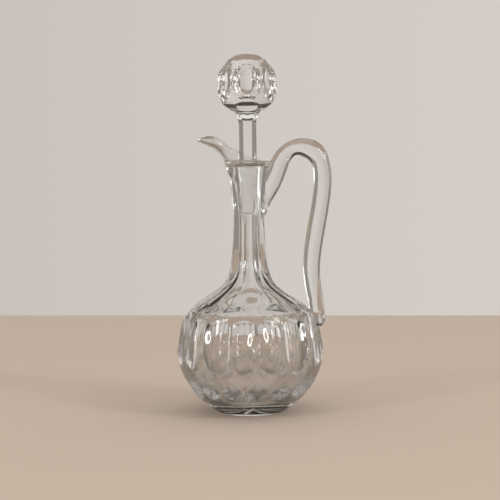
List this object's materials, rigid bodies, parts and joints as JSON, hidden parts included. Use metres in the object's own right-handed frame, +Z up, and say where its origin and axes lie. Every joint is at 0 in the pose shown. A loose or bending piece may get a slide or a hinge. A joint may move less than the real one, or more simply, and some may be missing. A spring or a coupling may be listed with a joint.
{
  "type": "claret jug",
  "caption": "Cut glass claret jug with a round bulb, sliced neck, pulled spout, applied loop handle and a ground glass ball stopper.",
  "frame": {"origin": "middle of the flat base, on the surface that the jug stands on", "axes": "+Z up along the axis of the bulb and neck, +X towards the handle, -X towards the spout, +Y to the jug's left when the handle is in front of the holder"},
  "size_m": [0.1411, 0.1318, 0.3195],
  "materials": {
    "body_glass": "clear colourless crystal, blown, wheel-cut and polished; ground matt in the stopper's seat",
    "handle_glass": "clear colourless crystal, fire-polished solid rod",
    "stopper_glass": "clear colourless crystal, facet-cut and polished; plug ground matt"
  },
  "bodies": {
    "jug": {"jug_body": "body_glass", "applied_handle": "handle_glass"},
    "stopper": {"stopper": "stopper_glass"}
  },
  "joints": [
    {"name": "stopper_lift", "type": "slide", "parent": "jug", "child": "stopper", "axis": [0, 0, 1], "range_m": [0, 0.07]}
  ]
}
